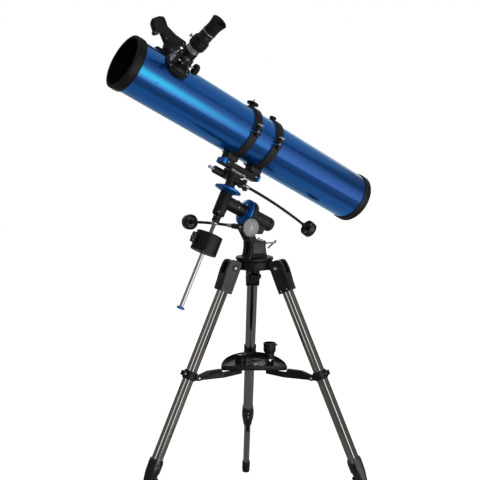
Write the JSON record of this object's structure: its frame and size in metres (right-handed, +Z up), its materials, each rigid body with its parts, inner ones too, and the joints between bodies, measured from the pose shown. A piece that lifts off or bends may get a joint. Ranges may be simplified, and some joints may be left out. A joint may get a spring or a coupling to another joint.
{
  "type": "newtonian reflector telescope",
  "caption": "Newtonian reflector telescope on a German equatorial mount and a folding steel tripod, with slow-motion cables, counterweight, rack focuser, finder and tray",
  "frame": {"origin": "on the floor, under the middle of the object's bounding box at rest", "axes": "+Z up; the tube looks towards -X and 25 degrees upwards, parallel to the polar axis; +Y to the side of the slow-motion cables"},
  "size_m": [0.8406, 0.773, 1.4462],
  "materials": {
    "aluminium": "satin",
    "black_metal": "satin black powder coat",
    "black_plastic": "satin black",
    "blue_anodised": "blue anodised, turned",
    "blue_metal": "glossy metallic blue lacquer",
    "mirror": "front-silvered",
    "rubber": "matt black",
    "steel": "polished stainless"
  },
  "bodies": {
    "hub": {"tripod_hub": "black_metal"},
    "azimuth_bolt": {"azimuth_knob": "black_plastic"},
    "leg_1": {"leg_bracket_1": "black_metal", "leg_tube_1": "steel", "spreader_collar_1": "black_plastic", "leg_clamp_1": "black_plastic"},
    "lower_leg_1": {"leg_inner_1": "steel", "leg_foot_1": "rubber"},
    "clamp_lever_body_1": {"clamp_lever_1": "black_plastic"},
    "arm_1": {"spreader_arm_1": "black_plastic"},
    "leg_2": {"leg_bracket_2": "black_metal", "leg_tube_2": "steel", "spreader_collar_2": "black_plastic", "leg_clamp_2": "black_plastic"},
    "lower_leg_2": {"leg_inner_2": "steel", "leg_foot_2": "rubber"},
    "clamp_lever_body_2": {"clamp_lever_2": "black_plastic"},
    "arm_2": {"spreader_arm_2": "black_plastic"},
    "leg_3": {"leg_bracket_3": "black_metal", "leg_tube_3": "steel", "spreader_collar_3": "black_plastic", "leg_clamp_3": "black_plastic"},
    "lower_leg_3": {"leg_inner_3": "steel", "leg_foot_3": "rubber"},
    "clamp_lever_body_3": {"clamp_lever_3": "black_plastic"},
    "arm_3": {"spreader_arm_3": "black_plastic"},
    "tray": {"accessory_tray": "black_plastic"},
    "azimuth": {"azimuth_base": "black_metal"},
    "latitude_bolt_body": {"latitude_bolt": "steel"},
    "polar": {"polar_housing": "black_metal", "latitude_scale": "aluminium", "ra_cable": "rubber"},
    "ra_circle": {"ra_setting_circle": "blue_anodised"},
    "ra_control": {"ra_knob": "black_plastic"},
    "declination_housing": {"dec_housing": "black_metal"},
    "declination": {"dec_head": "black_metal", "dec_cable": "rubber", "counterweight_shaft": "steel", "toe_cap": "blue_anodised", "saddle_bar": "black_metal", "ring_lower_1": "black_metal", "ring_lower_2": "black_metal", "main_tube": "blue_metal", "front_ring": "black_metal", "rear_cell": "black_metal", "primary_mirror": "mirror", "spider": "black_metal", "secondary_mirror": "mirror", "focuser_body": "black_plastic", "finder": "black_plastic"},
    "dec_circle": {"dec_setting_circle": "blue_anodised"},
    "dec_control": {"dec_knob": "black_plastic"},
    "dec_lock": {"dec_lock_knob": "black_plastic"},
    "weight": {"counterweight": "black_metal"},
    "weight_lock": {"counterweight_knob": "black_plastic"},
    "ring_top_1": {"ring_upper_1": "black_metal"},
    "ring_top_2": {"ring_upper_2": "black_metal"},
    "draw": {"drawtube": "steel"},
    "focus_control": {"focuser_knobs": "black_plastic"},
    "ocular": {"eyepiece": "black_plastic"}
  },
  "joints": [
    {"name": "azimuth_bolt_turn", "type": "hinge", "parent": "hub", "child": "azimuth_bolt", "pos_m": [0.0242, 0.00528, 0.7295], "axis": [0, 0, 1], "range_deg": [-90, 0]},
    {"name": "leg_fold_1", "type": "hinge", "parent": "hub", "child": "leg_1", "pos_m": [-0.05101, 0.00712, 0.77856], "axis": [0.0244, 0.9997, 0], "range_deg": [-7.5, 0]},
    {"name": "leg_length_1", "type": "slide", "parent": "leg_1", "child": "lower_leg_1", "axis": [-0.4177, 0.0102, -0.9085], "range_m": [-0.16, 0.1]},
    {"name": "clamp_lever_turn_1", "type": "hinge", "parent": "leg_1", "child": "clamp_lever_body_1", "pos_m": [-0.286, 0.01286, 0.21414], "axis": [-0.0244, -0.9997, 0], "range_deg": [0, 80]},
    {"name": "arm_fold_1", "type": "hinge", "parent": "leg_1", "child": "arm_1", "pos_m": [-0.16013, 0.00979, 0.47664], "axis": [0.0244, 0.9997, 0], "range_deg": [-20, 0]},
    {"name": "leg_fold_2", "type": "hinge", "parent": "hub", "child": "leg_2", "pos_m": [0.0634, 0.0695, 0.77856], "axis": [0.8536, -0.521, 0], "range_deg": [-7.5, 0]},
    {"name": "leg_length_2", "type": "slide", "parent": "leg_2", "child": "lower_leg_2", "axis": [0.2177, 0.3567, -0.9085], "range_m": [-0.16, 0.1]},
    {"name": "clamp_lever_turn_2", "type": "hinge", "parent": "leg_2", "child": "clamp_lever_body_2", "pos_m": [0.18587, 0.27013, 0.21414], "axis": [-0.8536, 0.521, 0], "range_deg": [0, 80]},
    {"name": "arm_fold_2", "type": "hinge", "parent": "leg_2", "child": "arm_2", "pos_m": [0.12026, 0.16266, 0.47664], "axis": [0.8536, -0.521, 0], "range_deg": [-20, 0]},
    {"name": "leg_fold_3", "type": "hinge", "parent": "hub", "child": "leg_3", "pos_m": [0.06021, -0.06078, 0.77856], "axis": [-0.878, -0.4787, 0], "range_deg": [-7.5, 0]},
    {"name": "leg_length_3", "type": "slide", "parent": "leg_3", "child": "lower_leg_3", "axis": [0.2, -0.3669, -0.9085], "range_m": [-0.16, 0.1]},
    {"name": "clamp_lever_turn_3", "type": "hinge", "parent": "leg_3", "child": "clamp_lever_body_3", "pos_m": [0.17273, -0.26715, 0.21414], "axis": [0.878, 0.4787, 0], "range_deg": [0, 80]},
    {"name": "arm_fold_3", "type": "hinge", "parent": "leg_3", "child": "arm_3", "pos_m": [0.11246, -0.1566, 0.47664], "axis": [-0.878, -0.4787, 0], "range_deg": [-20, 0]},
    {"name": "tray_lift", "type": "slide", "parent": "hub", "child": "tray", "axis": [0, 0, 1], "range_m": [0, 0.056]},
    {"name": "azimuth_turn", "type": "hinge", "parent": "hub", "child": "azimuth", "pos_m": [0.0242, 0.00528, 0.7295], "axis": [0, 0, 1], "continuous": true},
    {"name": "latitude_bolt_turn", "type": "hinge", "parent": "azimuth", "child": "latitude_bolt_body", "pos_m": [0.0242, 0.00528, 0.8415], "axis": [1, 0, 0], "range_deg": [-180, 0]},
    {"name": "latitude_tilt", "type": "hinge", "parent": "azimuth", "child": "polar", "pos_m": [-0.0078, 0.00528, 0.8915], "axis": [0, 1, 0], "range_deg": [-10, 20]},
    {"name": "ra_circle_turn", "type": "hinge", "parent": "polar", "child": "ra_circle", "pos_m": [0.09693, 0.00528, 0.88316], "axis": [-0.9039, 0, 0.4278], "continuous": true},
    {"name": "ra_knob_turn", "type": "hinge", "parent": "polar", "child": "ra_control", "pos_m": [-0.02979, 0.26768, 0.88597], "axis": [0.027, 0.9977, -0.062], "continuous": true},
    {"name": "ra_turn", "type": "hinge", "parent": "polar", "child": "declination_housing", "pos_m": [0.09693, 0.00528, 0.88316], "axis": [-0.9039, 0, 0.4278], "range_deg": [-90, 70]},
    {"name": "dec_turn", "type": "hinge", "parent": "declination_housing", "child": "declination", "pos_m": [-0.15368, 0.00528, 0.8137], "axis": [0.4278, 0, 0.9039], "continuous": true},
    {"name": "dec_circle_turn", "type": "hinge", "parent": "declination", "child": "dec_circle", "pos_m": [-0.15368, 0.00528, 0.8137], "axis": [0.4278, 0, 0.9039], "continuous": true},
    {"name": "dec_knob_turn", "type": "hinge", "parent": "declination", "child": "dec_control", "pos_m": [0.23064, 0.03528, 0.87955], "axis": [0.8343, 0, -0.5514], "continuous": true},
    {"name": "dec_lock_turn", "type": "hinge", "parent": "declination", "child": "dec_lock", "pos_m": [-0.05785, 0.00528, 1.01616], "axis": [0.2804, -0.9507, -0.1327], "range_deg": [-90, 0]},
    {"name": "weight_slide", "type": "slide", "parent": "declination", "child": "weight", "axis": [0.4278, 0, 0.9039], "range_m": [-0.15, 0.03]},
    {"name": "weight_lock_turn", "type": "hinge", "parent": "weight", "child": "weight_lock", "pos_m": [-0.13528, 0.00528, 0.85256], "axis": [-0.9039, 0, 0.4278], "range_deg": [-180, 0]},
    {"name": "ring_open_1", "type": "hinge", "parent": "declination", "child": "ring_top_1", "pos_m": [-0.02366, 0.09758, 1.15664], "axis": [-0.9039, 0, 0.4278], "range_deg": [0, 110]},
    {"name": "ring_open_2", "type": "hinge", "parent": "declination", "child": "ring_top_2", "pos_m": [0.04775, 0.09758, 1.12284], "axis": [-0.9039, 0, 0.4278], "range_deg": [0, 110]},
    {"name": "focus_travel", "type": "slide", "parent": "declination", "child": "draw", "axis": [0.2807, -0.7547, 0.593], "range_m": [-0.02, 0.045]},
    {"name": "focus_knob_turn", "type": "hinge", "parent": "declination", "child": "focus_control", "pos_m": [-0.25506, -0.08715, 1.32223], "axis": [-0.9039, 0, 0.4278], "range_deg": [-435, 195]},
    {"name": "eyepiece_slide", "type": "slide", "parent": "draw", "child": "ocular", "axis": [0.2807, -0.7547, 0.593], "range_m": [0, 0.03]}
  ],
  "couplings": [
    {"joint": "arm_fold_1", "follows": "leg_fold_1", "ratio": 2.4},
    {"joint": "leg_fold_2", "follows": "leg_fold_1", "ratio": 1},
    {"joint": "arm_fold_2", "follows": "leg_fold_1", "ratio": 2.4},
    {"joint": "leg_fold_3", "follows": "leg_fold_1", "ratio": 1},
    {"joint": "arm_fold_3", "follows": "leg_fold_1", "ratio": 2.4},
    {"joint": "tray_lift", "follows": "leg_fold_1", "m_per_rad": -0.38},
    {"joint": "focus_knob_turn", "follows": "focus_travel", "rad_per_m": -166.67}
  ]
}
